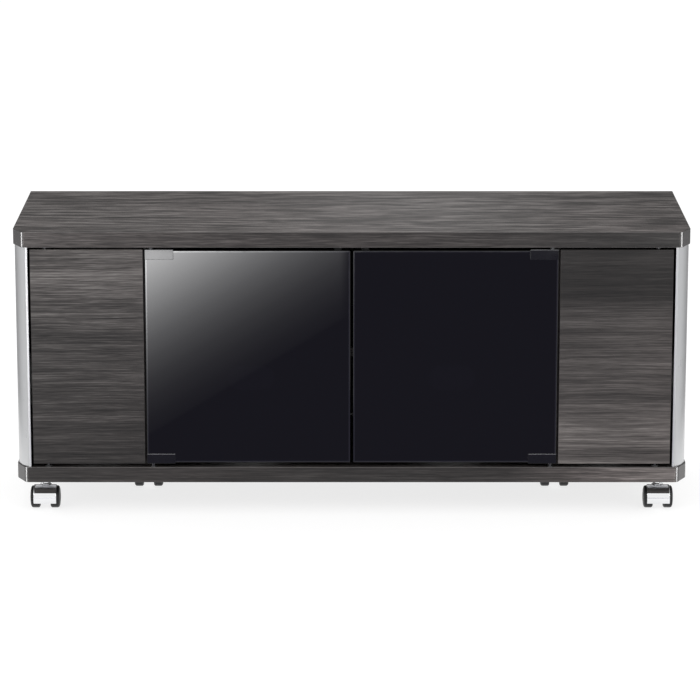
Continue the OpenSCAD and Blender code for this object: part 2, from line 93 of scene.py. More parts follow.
def rounded(pts, radii, n=6):
    """An outline with each corner rounded by its radius."""
    out = []
    k = len(pts)
    for i in range(k):
        r = radii[i] if isinstance(radii, (list, tuple)) else radii
        if r <= 0:
            out.append(pts[i])
        else:
            out += corner_arc(pts[i - 1], pts[i], pts[(i + 1) % k], r, n)
    return out


def rect(u0, v0, u1, v1):
    return [(u0, v0), (u1, v0), (u1, v1), (u0, v1)]


PLANES = {
    "xy": lambda u, v, w: (u, v, w),
    "xz": lambda u, v, w: (u, w, v),
    "yz": lambda u, v, w: (w, u, v),
}


def add_prism(bm, outline, a, b, r=0.0, seg=3, plane="xy", mat=0, r_end=None):
    """A convex outline extruded from a to b, its rim edges rounded by r."""
    pts = ccw(outline)
    put = PLANES[plane]
    if r > 0:
        levels = [(a + r * (1 - math.sin(math.pi / 2 * (1 - k / seg))), r * (1 - math.cos(math.pi / 2 * (1 - k / seg)))) for k in range(seg + 1)]
        top = [(b - (w - a), i) for w, i in reversed(levels)]
        levels = levels + top
    else:
        levels = [(a, 0.0), (b, 0.0)]
    rings = []
    for w, i in levels:
        ring = inset(pts, i) if i > 0 else pts
        rings.append([bm.verts.new(put(p[0], p[1], w)) for p in ring])
    n = len(pts)
    faces = []
    for lo, hi in zip(rings, rings[1:]):
        for i in range(n):
            j = (i + 1) % n
            faces.append(bm.faces.new((lo[i], lo[j], hi[j], hi[i])))
    faces.append(bm.faces.new(list(reversed(rings[0]))))
    faces.append(bm.faces.new(rings[-1]))
    for f in faces:
        f.material_index = mat
    return faces


def add_box(bm, lo, hi, r=0.0005, rc=None, axis="z", seg=3, mat=0):
    """A box with soft edges: rc rounds the corners seen along axis, r the rims."""
    rc = r if rc is None else rc
    i, j, k, plane = {"z": (0, 1, 2, "xy"), "y": (0, 2, 1, "xz"), "x": (1, 2, 0, "yz")}[axis]
    o = rounded(rect(lo[i], lo[j], hi[i], hi[j]), rc, 4)
    return add_prism(bm, o, lo[k], hi[k], r, seg, plane, mat)


def add_lathe(bm, profile, centre, axis="z", n=64, mat=0, start=0.0, sweep=2 * math.pi, closed=False):
    """A profile of (radius, height along axis) turned round an axis through centre. Full turn, or a sector of a closed loop."""
    cx, cy, cz = centre
    full = abs(sweep - 2 * math.pi) < 1e-9

    def put(r, h, t):
        c, s = math.cos(t), math.sin(t)
        if axis == "z":
            return (cx + r * c, cy + r * s, cz + h)
        if axis == "x":
            return (cx + h, cy + r * c, cz + r * s)
        return (cx + r * c, cy + h, cz + r * s)

    steps = n if full else n + 1
    rings = []
    for r, h in profile:
        if r < 1e-9:
            rings.append([bm.verts.new(put(0, h, 0))])
        else:
            rings.append([bm.verts.new(put(r, h, start + sweep * i / n)) for i in range(steps)])
    pairs = list(zip(rings, rings[1:]))
    if closed:
        pairs.append((rings[-1], rings[0]))
    faces = []
    for a, b in pairs:
        for i in range(n):
            j = (i + 1) % steps if full else i + 1
            if len(a) == 1 and len(b) == 1:
                continue
            if len(a) == 1:
                faces.append(bm.faces.new((a[0], b[i], b[j])))
            elif len(b) == 1:
                faces.append(bm.faces.new((a[i], b[0], a[j])))
            else:
                faces.append(bm.faces.new((a[i], b[i], b[j], a[j])))
    if not full and closed:
        faces.append(bm.faces.new([r[0] for r in rings]))
        faces.append(bm.faces.new([r[-1] for r in rings]))
    for f in faces:
        f.material_index = mat
    return faces


def smooth_profile(pts, radii, n=4):
    """An open polyline with its inner corners rounded."""
    out = [pts[0]]
    for i in range(1, len(pts) - 1):
        r = radii[i] if isinstance(radii, (list, tuple)) else radii
        if r > 0:
            out += corner_arc(pts[i - 1], pts[i], pts[i + 1], r, n)
        else:
            out.append(pts[i])
    out.append(pts[-1])
    return out


def make(bm, name, body, mats, replaces=(), angle=38, weighted=True):
    bmesh.ops.remove_doubles(bm, verts=bm.verts, dist=1e-7)
    bmesh.ops.recalc_face_normals(bm, faces=bm.faces)
    for f in bm.faces:
        f.smooth = True
    lim = math.radians(angle)
    for e in bm.edges:
        if len(e.link_faces) == 2:
            e.smooth = e.calc_face_angle(0.0) < lim
    me = bpy.data.meshes.new(name)
    bm.to_mesh(me)
    bm.free()
    ob = bpy.data.objects.new(name, me)
    bpy.context.scene.collection.objects.link(ob)
    for m in mats:
        me.materials.append(m)
    if weighted:
        w = ob.modifiers.new("normals", "WEIGHTED_NORMAL")
        w.keep_sharp = True
        w.weight = 50
    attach(ob, body)
    if replaces:
        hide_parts(*replaces)
    return ob


def cut(ob, cutter_bm, name="cutter"):
    """Takes the cutter's closed solids off ob, for good."""
    bmesh.ops.recalc_face_normals(cutter_bm, faces=cutter_bm.faces)
    me = bpy.data.meshes.new(name)
    cutter_bm.to_mesh(me)
    cutter_bm.free()
    c = bpy.data.objects.new(name, me)
    bpy.context.scene.collection.objects.link(c)
    held = [m for m in ob.modifiers]
    for m in held:
        m.show_viewport = False
    b = ob.modifiers.new("cut", "BOOLEAN")
    b.operation = "DIFFERENCE"
    b.solver = "EXACT"
    b.object = c
    bpy.context.view_layer.update()
    dg = bpy.context.evaluated_depsgraph_get()
    new = bpy.data.meshes.new_from_object(ob.evaluated_get(dg))
    old = ob.data
    ob.modifiers.remove(b)
    for m in held:
        m.show_viewport = True
    new.name = old.name
    ob.data = new
    bpy.data.meshes.remove(old)
    bpy.data.objects.remove(c)
    bpy.data.meshes.remove(me)


# ---------------------------------------------------------------- materials

def new_mat(name):
    m = bpy.data.materials.new(name)
    m.use_nodes = True
    nt = m.node_tree
    b = [n for n in nt.nodes if n.type == "BSDF_PRINCIPLED"][0]
    return m, nt, b


def node(nt, kind, **props):
    n = nt.nodes.new(kind)
    for k, v in props.items():
        setattr(n, k, v)
    return n


def math_node(nt, op, a, b=None, c=None, clamp=False):
    n = node(nt, "ShaderNodeMath", operation=op, use_clamp=clamp)
    for i, v in enumerate((a, b, c)):
        if v is None:
            continue
        if isinstance(v, (int, float)):
            n.inputs[i].default_value = v
        else:
            nt.links.new(v, n.inputs[i])
    return n.outputs[0]


def coords(nt, scale, offset=(0, 0, 0), vec=None):
    if vec is None:
        vec = node(nt, "ShaderNodeTexCoord").outputs["Object"]
    m = node(nt, "ShaderNodeMapping")
    m.inputs["Location"].default_value = offset
    m.inputs["Scale"].default_value = scale
    nt.links.new(vec, m.inputs["Vector"])
    return m.outputs[0]


def noise(nt, vec, detail=2.0, rough=0.5, dist=0.0, scale=1.0):
    n = node(nt, "ShaderNodeTexNoise")
    n.inputs["Scale"].default_value = scale
    n.inputs["Detail"].default_value = detail
    n.inputs["Roughness"].default_value = rough
    n.inputs["Distortion"].default_value = dist
    nt.links.new(vec, n.inputs["Vector"])
    return n.outputs["Fac"]


def ramp(nt, fac, stops, interp="LINEAR"):
    r = node(nt, "ShaderNodeValToRGB")
    r.color_ramp.interpolation = interp
    while len(r.color_ramp.elements) < len(stops):
        r.color_ramp.elements.new(0.5)
    for e, (p, c) in zip(r.color_ramp.elements, stops):
        e.position = p
        e.color = (*c, 1) if len(c) == 3 else c
    nt.links.new(fac, r.inputs[0])
    return r.outputs[0]


def map_range(nt, v, a, b, c, d, clamp=True):
    n = node(nt, "ShaderNodeMapRange", clamp=clamp)
    nt.links.new(v, n.inputs[0])
    for i, x in enumerate((a, b, c, d)):
        n.inputs[i + 1].default_value = x
    return n.outputs[0]


def mix_rgb(nt, fac, a, b, mode="MIX"):
    n = node(nt, "ShaderNodeMix", data_type="RGBA", blend_type=mode)
    for i, v in ((0, fac), (6, a), (7, b)):
        if isinstance(v, (int, float)):
            n.inputs[i].default_value = v
        elif isinstance(v, tuple):
            n.inputs[i].default_value = (*v, 1) if len(v) == 3 else v
        else:
            nt.links.new(v, n.inputs[i])
    return n.outputs[2]


def bump(nt, b, height, strength=0.2, distance=0.0005):
    n = node(nt, "ShaderNodeBump")
    n.inputs["Strength"].default_value = strength
    n.inputs["Distance"].default_value = distance
    nt.links.new(height, n.inputs["Height"])
    nt.links.new(n.outputs[0], b.inputs["Normal"])


def wood(name, grain="x", seed=(0.0, 0.0, 0.0), tone=1.0, contrast=1.0, rough=0.46, fine_w=1.0, band_w=1.0, short_w=0.0, painted_light_ramps=(), along=1.0, short_s=(13, 150)):
    """Dark grey-brown printed wood grain on an embossed laminate. The grain runs along one axis of the row frame.
    The tone ramps, each (axis, from, to, factor at from, factor at to), are painted light and shade: the sheet made
    slowly lighter or darker along an axis in place of how the lamps fall on it. along above 1 shortens the streaks."""
    m, nt, b = new_mat(name)

    def sc(along, across):
        return {"x": (along, across, across), "y": (across, along, across), "z": (across, across, along)}[grain]

    cut_short = along

    base = node(nt, "ShaderNodeTexCoord").outputs["Object"]
    # slow waver of the grain lines
    wav = node(nt, "ShaderNodeTexNoise")
    wav.inputs["Scale"].default_value = 1.0
    wav.inputs["Detail"].default_value = 2.0
    nt.links.new(coords(nt, sc(2.4, 6.0), tuple(s + 3.1 for s in seed), base), wav.inputs["Vector"])
    sub = node(nt, "ShaderNodeVectorMath", operation="SUBTRACT")
    nt.links.new(wav.outputs["Color"], sub.inputs[0])
    sub.inputs[1].default_value = (0.5, 0.5, 0.5)
    scl = node(nt, "ShaderNodeVectorMath", operation="SCALE")
    nt.links.new(sub.outputs[0], scl.inputs[0])
    scl.inputs["Scale"].default_value = 0.012
    add = node(nt, "ShaderNodeVectorMath", operation="ADD")
    nt.links.new(base, add.inputs[0])
    nt.links.new(scl.outputs[0], add.inputs[1])
    vec = add.outputs[0]

    def layer(along, across, off, detail, rgh, lo, hi):
        f = noise(nt, coords(nt, sc(along, across), tuple(s + off for s in seed), vec), detail, rgh)
        return map_range(nt, f, lo, hi, -1.0, 1.0)

    broad = layer(0.9, 22, 0.0, 2.0, 0.5, 0.34, 0.66)
    mid = layer(2.0 * cut_short, 135, 7.7, 3.0, 0.55, 0.33, 0.67)
    fine = layer(5.5 * cut_short, 450, 1.3, 4.0, 0.66, 0.38, 0.62)
    hair = layer(34, 820, 5.9, 2.0, 0.6, 0.33, 0.67)
    # thin dark lines where two layers meet, as in straight-grained veneer
    line = noise(nt, coords(nt, sc(2.2 * cut_short, 290), tuple(s + 17.0 for s in seed), vec), 2.0, 0.5)
    line = math_node(nt, "ABSOLUTE", math_node(nt, "SUBTRACT", line, 0.5))
    line = map_range(nt, line, 0.0, 0.03, 1.0, 0.0)
    v = math_node(nt, "MULTIPLY_ADD", broad, 0.14 * contrast * band_w, 0.5)
    v = math_node(nt, "MULTIPLY_ADD", mid, 0.12 * contrast, v)
    v = math_node(nt, "MULTIPLY_ADD", fine, 0.23 * contrast * fine_w, v)
    v = math_node(nt, "MULTIPLY_ADD", hair, 0.13 * contrast * fine_w, v)
    if short_w:
        short = layer(short_s[0], short_s[1], 23.5, 3.0, 0.6, 0.36, 0.64)
        v = math_node(nt, "MULTIPLY_ADD", short, 0.17 * contrast * short_w, v)
    v = math_node(nt, "MULTIPLY_ADD", line, -0.20 * contrast, v, clamp=True)
    col = ramp(nt, v, [(0.06, tuple(tone * c for c in (0.0137, 0.0114, 0.0110))),
                       (0.36, tuple(tone * c for c in (0.0365, 0.0311, 0.0299))),
                       (0.60, tuple(tone * c for c in (0.069, 0.0594, 0.0570))),
                       (0.96, tuple(tone * c for c in (0.152, 0.1345, 0.1300)))])
    # faint hue drift along the sheet
    hue = noise(nt, coords(nt, (2.1, 2.1, 2.1), tuple(s + 11.0 for s in seed), base), 1.0)
    col = mix_rgb(nt, map_range(nt, hue, 0.35, 0.65, 0.0, 0.6), col, mix_rgb(nt, 1.0, col, (0.93, 1.0, 1.0), "MULTIPLY"))
    # painted light and shade: each tone ramp multiplies the colour lighter or darker along an axis of the row frame
    for ax, lo, hi, f0, f1 in painted_light_ramps:
        sep = node(nt, "ShaderNodeSeparateXYZ")
        nt.links.new(base, sep.inputs[0])
        k = map_range(nt, sep.outputs["XYZ".index(ax)], lo, hi, f0, f1)
        sm = node(nt, "ShaderNodeCombineXYZ")
        for i in range(3):
            nt.links.new(k, sm.inputs[i])
        col = mix_rgb(nt, 1.0, col, sm.outputs[0], "MULTIPLY")
    nt.links.new(col, b.inputs["Base Color"])
    r = math_node(nt, "MULTIPLY_ADD", fine, -0.05, rough)
    r = math_node(nt, "MULTIPLY_ADD", line, 0.10, r)
    nt.links.new(r, b.inputs["Roughness"])
    h = math_node(nt, "MULTIPLY_ADD", fine, 0.4, math_node(nt, "MULTIPLY", line, -0.5))
    bump(nt, b, h, 0.25, 0.0002)
    b.inputs["IOR"].default_value = 1.5
    b.inputs["Specular IOR Level"].default_value = 0.32
    return m


def edge_band(name, tone=1.0, rough=0.17):
    """Plain edging with fine moulded grain only: dark on the cut-back corners; with a high tone, a painted highlight on
    the boards' rounded rims.
    """
    m, nt, b = new_mat(name)
    base = node(nt, "ShaderNodeTexCoord").outputs["Object"]
    n1 = noise(nt, coords(nt, (60, 60, 60), (2, 1, 4), base), 3.0)
    n2 = noise(nt, coords(nt, (900, 900, 900), (0, 5, 0), base), 2.0)
    col = ramp(nt, n1, [(0.3, tuple(tone * c for c in (0.030, 0.0275, 0.0275))), (0.7, tuple(tone * c for c in (0.038, 0.035, 0.035)))])
    nt.links.new(col, b.inputs["Base Color"])
    nt.links.new(map_range(nt, n1, 0.3, 0.7, rough - 0.03, rough + 0.05), b.inputs["Roughness"])
    bump(nt, b, n2, 0.10, 0.0001)
    return m


def metal(name, colour, rough, lines=None, line_bump=0.08, spots=0.05, grime=0.0, aniso=0.0):
    """Metal with fine drawn lines or polishing haze. lines is the scale of a stretched noise, per metre along X, Y, Z."""
    m, nt, b = new_mat(name)
    b.inputs["Metallic"].default_value = 1.0
    base = node(nt, "ShaderNodeTexCoord").outputs["Object"]
    haze = noise(nt, coords(nt, (38, 38, 38), (4, 2, 9), base), 4.0, 0.6)
    col = ramp(nt, haze, [(0.3, tuple(c * (1 - spots) for c in colour)), (0.7, tuple(min(1.0, c * (1 + spots * 0.5)) for c in colour))])
    if grime:
        g = noise(nt, coords(nt, (140, 140, 140), (1, 1, 1), base), 5.0, 0.7)
        col = mix_rgb(nt, map_range(nt, g, 0.56, 0.75, 0.0, grime), col, (0.12, 0.11, 0.10))
    nt.links.new(col, b.inputs["Base Color"])
    if lines:
        ln = noise(nt, coords(nt, lines, (0.3, 0.7, 0.1), base), 3.0, 0.6)
        r = math_node(nt, "ADD", map_range(nt, haze, 0.3, 0.7, rough * 0.88, rough * 1.14), math_node(nt, "MULTIPLY_ADD", ln, 0.12 * min(1, rough * 3), -0.06 * min(1, rough * 3)))
        nt.links.new(r, b.inputs["Roughness"])
        bump(nt, b, ln, line_bump, 0.00008)
    else:
        nt.links.new(map_range(nt, haze, 0.3, 0.7, rough * 0.75, rough * 1.35), b.inputs["Roughness"])
        fine = noise(nt, coords(nt, (1500, 1500, 1500), (0, 0, 0), base), 2.0)
        bump(nt, b, fine, line_bump, 0.00004)
    return m


def plastic(name, colour, rough, grain=1100, strength=0.12, wear=0.0, spec=0.5):
    m, nt, b = new_mat(name)
    b.inputs["Specular IOR Level"].default_value = spec
    base = node(nt, "ShaderNodeTexCoord").outputs["Object"]
    slow = noise(nt, coords(nt, (45, 45, 45), (3, 3, 1), base), 3.0)
    fine = noise(nt, coords(nt, (grain, grain, grain), (0, 0, 0), base), 2.0, 0.6)
    col = ramp(nt, slow, [(0.3, tuple(c * 0.82 for c in colour)), (0.7, tuple(c * 1.18 for c in colour))])
    if wear:
        scuff = noise(nt, coords(nt, (260, 260, 260), (7, 0, 2), base), 6.0, 0.75)
        col = mix_rgb(nt, map_range(nt, scuff, 0.55, 0.72, 0.0, wear), col, (0.11, 0.105, 0.10))
    nt.links.new(col, b.inputs["Base Color"])
    nt.links.new(map_range(nt, slow, 0.3, 0.7, rough * 0.85, min(1.0, rough * 1.2)), b.inputs["Roughness"])
    bump(nt, b, fine, strength, 0.00012)
    return m


def smoked_glass(name):
    m, nt, b = new_mat(name)
    b.inputs["Base Color"].default_value = (0.0006, 0.0006, 0.0010, 1)
    b.inputs["Transmission Weight"].default_value = 1.0
    b.inputs["IOR"].default_value = 1.5
    base = node(nt, "ShaderNodeTexCoord").outputs["Object"]
    film = noise(nt, coords(nt, (9, 9, 9), (5, 1, 3), base), 5.0, 0.65)
    nt.links.new(map_range(nt, film, 0.35, 0.75, 0.004, 0.03), b.inputs["Roughness"])
    return m


def glass_edge(name):
    m, nt, b = new_mat(name)
    b.inputs["Base Color"].default_value = (0.0030, 0.0031, 0.0040, 1)
    b.inputs["IOR"].default_value = 1.72
    base = node(nt, "ShaderNodeTexCoord").outputs["Object"]
    film = noise(nt, coords(nt, (40, 40, 40), (2, 1, 3), base), 4.0, 0.6)
    nt.links.new(map_range(nt, film, 0.35, 0.75, 0.03, 0.10), b.inputs["Roughness"])
    return m


def board_back(name):
    """Dark hardboard: printed, with short pale fibres."""
    m, nt, b = new_mat(name)
    base = node(nt, "ShaderNodeTexCoord").outputs["Object"]
    slow = noise(nt, coords(nt, (6, 6, 6), (3, 3, 1), base), 4.0, 0.6)
    fib = noise(nt, coords(nt, (240, 240, 700), (1, 2, 3), base), 4.0, 0.7)
    col = ramp(nt, fib, [(0.35, (0.022, 0.021, 0.021)), (0.62, (0.040, 0.038, 0.037)), (0.8, (0.075, 0.070, 0.066))])
    col = mix_rgb(nt, map_range(nt, slow, 0.35, 0.7, 0.0, 0.4), col, (0.03, 0.029, 0.029))
    nt.links.new(col, b.inputs["Base Color"])
    nt.links.new(map_range(nt, fib, 0.3, 0.7, 0.62, 0.78), b.inputs["Roughness"])
    bump(nt, b, fib, 0.25, 0.0002)
    return m


M_TOP = wood("laminate_top", "x", (1.7, 4.2, 0.3), tone=1.09, contrast=1.25, band_w=0.55, short_w=1.5, short_s=(7.5, 78), fine_w=1.2, along=2.4)
# painted light and shade: the top's front edge band is lightened up to 1.6 times at the left end and darkened to 0.6 at
# the right end
M_TOP_EDGE = wood("edge_band_top_front", "x", (6.6, 4.2, 8.3), tone=0.53, contrast=0.85, along=2.6, painted_light_ramps=[("X", -0.52, -0.14, 1.60, 1.0), ("X", 0.10, 0.46, 1.0, 0.60)])
M_BASE = wood("laminate_base", "x", (8.1, 2.6, 5.5), tone=0.58, contrast=0.9)
# painted highlight and shade: the base's front edge band is lightened up to 4.9 times at the right end and darkened to
# 0.86 at the left end
M_BASE_EDGE = wood("edge_band_base_front", "x", (9.9, 1.6, 3.5), tone=0.42, contrast=0.8, along=1.6, painted_light_ramps=[("X", 0.28, 0.53, 1.0, 4.9), ("X", -0.55, -0.2, 0.86, 1.0)])
# tone 2.6 makes the rounded rims of the boards lighter than their faces: a painted highlight along the arrises
M_ARRIS_HIGHLIGHT = edge_band("edge_band_arris_painted_highlight", tone=2.6, rough=0.24)
# painted light and shade: the left door's grain is darkened to 0.44 at the bottom and lightened to 1.2 at the top
M_DOOR_L = wood("laminate_left_door", "x", (3.9, 6.2, 9.1), tone=0.86, band_w=1.35, along=1.5, painted_light_ramps=[("Z", 0.12, 0.44, 0.44, 1.20)])
# painted sheen and shade: the right door's grain is lightened to 1.74 at the bottom and darkened to 0.30 at the top
M_DOOR_R = wood("laminate_right_door", "x", (13.4, 0.8, 2.9), tone=0.86, contrast=0.82, band_w=1.6, fine_w=0.85, along=1.4, painted_light_ramps=[("Z", 0.12, 0.44, 1.74, 0.30)])
M_SIDE = wood("laminate_sides", "y", (5.2, 9.3, 1.1))
# tone 0.66 darkens the inside boards and shelves: painted shade for the dark interior
M_INNER = wood("laminate_inside", "x", (21.0, 3.0, 6.4), tone=0.66, contrast=0.8)
M_EDGE_Y = wood("edge_band_depthwise", "y", (2.2, 7.7, 3.3), tone=0.80)
M_EDGE_Z = wood("edge_band_upright", "z", (4.4, 1.2, 8.8), tone=0.9)
M_CORNER = edge_band("edge_band_corner")
M_BACK = board_back("back_hardboard_print")
M_ALU = metal("satin_anodised_aluminium", (0.62, 0.625, 0.63), 0.32, lines=(1500, 1500, 2.5), line_bump=0.10, spots=0.02)
M_CHROME = metal("polished_chrome", (0.86, 0.865, 0.875), 0.06, spots=0.015, line_bump=0.02, grime=0.04)
M_ZINC = metal("zinc_plated_steel", (0.62, 0.62, 0.635), 0.30, spots=0.12, line_bump=0.10, grime=0.10)
M_NICKEL = metal("nickel_plated_steel", (0.70, 0.69, 0.67), 0.20, spots=0.06, line_bump=0.05)
M_CLAMP = plastic("black_gloss_clamp", (0.0035, 0.0035, 0.0042), 0.07, grain=700, strength=0.02)
# lighter grey for the clamp plates' upper rims: a painted highlight
M_CLAMP_RIM_HIGHLIGHT = plastic("black_gloss_clamp_rim_painted_highlight", (0.20, 0.20, 0.21), 0.16, grain=700, strength=0.02)
M_PIN = metal("black_oxide_pin", (0.075, 0.075, 0.078), 0.24, spots=0.06)
M_GLASS = smoked_glass("smoked_glass")
M_GLASS_EDGE = glass_edge("smoked_glass_edge")
M_NYLON = plastic("black_nylon_wheel", (0.0085, 0.0085, 0.009), 0.40, wear=0.06, spec=0.28)
M_LATCH = plastic("latch_black_plastic", (0.009, 0.009, 0.0095), 0.50, spec=0.25)
# near-black for the posts' flanks beside the doors: painted shade in the gap
M_FLANK_SHADE = plastic("post_inner_flank_painted_shade", (0.006, 0.006, 0.0065), 0.55, spec=0.2)
M_BUSH = plastic("bush_black_plastic", (0.030, 0.030, 0.031), 0.40)
M_MAGNET = plastic("plunger_dark_plastic", (0.012, 0.012, 0.0125), 0.45, spec=0.25)


def cad_look(names, mats, pick=None):
    """Materials for CAD nodes that stay as they are, smooth over their round faces."""
    for n in names:
        ob = NODES[n]
        me = ob.data
        me.materials.clear()
        for m in (mats if isinstance(mats, (list, tuple)) else [mats]):
            me.materials.append(m)
        for p in me.polygons:
            p.use_smooth = True
            p.material_index = pick(p.normal) if pick else 0
        w = ob.modifiers.new("weld", "WELD")
        w.merge_threshold = 1e-6
        s = ob.modifiers.new("split", "EDGE_SPLIT")
        s.split_angle = math.radians(32)


# ---------------------------------------------------------------- boards

CUT_W, CUT_D, FRONT_R, SIDE_R = 17.5 * MM, 34.7 * MM, 10.5 * MM, 16 * MM


def board_outline(lo, hi):
    x, y0, y1 = hi.x, lo.y, hi.y
    pts = [(-x, y1), (-x, y0 + CUT_D), (-x + CUT_W, y0), (x - CUT_W, y0), (x, y0 + CUT_D), (x, y1)]
    rad = [0.0012, SIDE_R, FRONT_R, FRONT_R, SIDE_R, 0.0012]
    return rounded(pts, rad, 14)


def board(name, cad, mat, front):
    lo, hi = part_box(cad)
    bm = bmesh.new()
    add_prism(bm, board_outline(lo, hi), lo.z, hi.z, 1.1 * MM, 4, "xy")
    bm.faces.ensure_lookup_table()
    bmesh.ops.recalc_face_normals(bm, faces=bm.faces)
    for f in bm.faces:
        n = f.normal
        if abs(n.z) > 0.97:
            continue
        c = f.calc_center_median()
        if c.y < lo.y + CUT_D - 0.001 and abs(c.x) > hi.x - CUT_W - 0.003:
            f.material_index = 2
        # the rounded rims take the lighter arris tone: a painted highlight
        elif abs(n.z) > 0.2:
            f.material_index = 4
        elif abs(n.x) > 0.7:
            f.material_index = 1
        elif n.y < -0.7:
            f.material_index = 3
    return make(bm, name, "cabinet", [mat, M_EDGE_Y, M_CORNER, front, M_ARRIS_HIGHLIGHT], (cad,))


top = board("top_board_laminated", "top_board", M_TOP, M_TOP_EDGE)
base = board("base_board_laminated", "base_board", M_BASE, M_BASE_EDGE)

# countersunk holes for the carcass screws in the underside
b_lo, b_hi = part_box("base_board")
holes = bmesh.new()
scr = NODES["carcass_screws"].data
seen = []
for v in scr.vertices:
    if v.co.z < b_lo.z + 0.0005:
        c = None
        for s in seen:
            if math.hypot(v.co.x - s[0] / s[2], v.co.y - s[1] / s[2]) < 0.012:
                c = s
                break
        if c is None:
            seen.append([v.co.x, v.co.y, 1])
        else:
            c[0] += v.co.x
            c[1] += v.co.y
            c[2] += 1
for s in seen:
    x, y = s[0] / s[2], s[1] / s[2]
    add_lathe(holes, [(0, -0.004), (5.2 * MM, -0.004), (5.2 * MM, 4.3 * MM), (0, 4.3 * MM)], (x, y, b_lo.z), "z", 40)
cut(base, holes)

cad_look(["left_side_panel", "right_side_panel"], [M_SIDE, M_EDGE_Z], lambda n: 1 if abs(n.y) > 0.7 else 0)
cad_look(["left_partition", "right_partition"], [M_SIDE, M_EDGE_Z], lambda n: 1 if abs(n.y) > 0.7 else 0)
cad_look(["back_panel"], M_BACK)


def shelf(name, cad):
    lo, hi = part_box(cad)
    bm = bmesh.new()
    add_prism(bm, rounded(rect(lo.x, lo.y, hi.x, hi.y), 0.8 * MM, 3), lo.z, hi.z, 0.8 * MM, 3, "xy")
    bmesh.ops.recalc_face_normals(bm, faces=bm.faces)
    for f in bm.faces:
        if abs(f.normal.x) > 0.7:
            f.material_index = 1
    return make(bm, name, "cabinet", [M_INNER, M_EDGE_Y], (cad,))


shelf("centre_shelf_board", "centre_shelf")
shelf("left_shelf_board", "left_shelf")
shelf("right_shelf_board", "right_shelf")

# ---------------------------------------------------------------- corner posts


def post(name, cad, sx):
    lo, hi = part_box(cad)
    x_out = max(abs(lo.x), abs(hi.x))
    x_in = min(abs(lo.x), abs(hi.x))
    yf, yb = lo.y, hi.y
    lip = 4.4 * MM
    # long shallow arc between the side and the front lip
    a = (x_out, yb - 2 * MM)
    b = (x_in + lip, yf)
    d = unit2((b[0] - a[0], b[1] - a[1]))
    nrm = (-d[1], d[0])
    if nrm[0] * -1 + nrm[1] < 0:
        nrm = (-nrm[0], -nrm[1])
    R = 72 * MM
    half = math.hypot(b[0] - a[0], b[1] - a[1]) / 2
    mid = ((a[0] + b[0]) / 2, (a[1] + b[1]) / 2)
    k = math.sqrt(R * R - half * half)
    cc = (mid[0] + nrm[0] * k, mid[1] + nrm[1] * k)
    t0 = math.atan2(a[1] - cc[1], a[0] - cc[0])
    t1 = math.atan2(b[1] - cc[1], b[0] - cc[0])
    dt = (t1 - t0 + math.pi) % (2 * math.pi) - math.pi
    arc = [(cc[0] + R * math.cos(t0 + dt * i / 28), cc[1] + R * math.sin(t0 + dt * i / 28)) for i in range(29)]
    arc = arc[:-1]
    # soft turn from the arc into the lip, then the lip's own edge
    turn = corner_arc(arc[-2], b, (x_in, yf), 1.6 * MM, 6)
    inner = corner_arc((b[0], yf), (x_in, yf), (x_in, yb), 0.7 * MM, 5)
    out = [(x_out, yb)] + arc + turn + inner + [(x_in, yb)]
    out = [(sx * p[0], p[1]) for p in out]
    bm = bmesh.new()
    add_prism(bm, out, lo.z, hi.z, 0.0, 1, "xy")
    bmesh.ops.recalc_face_normals(bm, faces=bm.faces)
    for f in bm.faces:
        # the flank towards the door is near-black: painted shade for the dark gap beside it
        if f.normal.x * sx < -0.95:
            f.material_index = 1
    return make(bm, name, "cabinet", [M_ALU, M_FLANK_SHADE], (cad,), angle=30)


post("left_corner_post_extrusion", "left_corner_post", -1)
post("right_corner_post_extrusion", "right_corner_post", 1)

# ---------------------------------------------------------------- wood doors


def wood_door(side, mat):
    cad = f"{side}_door_panel"
    lo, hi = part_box(cad)
    bm = bmesh.new()
    add_prism(bm, rounded(rect(lo.x, lo.z, hi.x, hi.z), 0.9 * MM, 4), lo.y, hi.y, 0.9 * MM, 4, "xz")
    bmesh.ops.recalc_face_normals(bm, faces=bm.faces)
    for f in bm.faces:
        if abs(f.normal.x) > 0.72:
            f.material_index = 1
    ob = make(bm, f"{side}_wood_door_panel", f"{side}_wood_door", [mat, M_EDGE_Z], (cad,))
    plo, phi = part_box(f"{side}_door_pivots")
    holes = bmesh.new()
    e = 0.12 * MM
    for z0, z1 in ((lo.z - 0.003, lo.z + 2.5 * MM), (hi.z - 2.5 * MM, hi.z + 0.003)):
        add_prism(holes, rounded(rect(plo.x - e, plo.y - e, phi.x + e, phi.y + e), 0.4 * MM, 3), z0, z1, 0, 1, "xy")
    cut(ob, holes)
    return ob


wood_door("left", M_DOOR_L)
wood_door("right", M_DOOR_R)
cad_look(["left_door_pivots", "right_door_pivots"], M_PIN)

# ---------------------------------------------------------------- glass doors


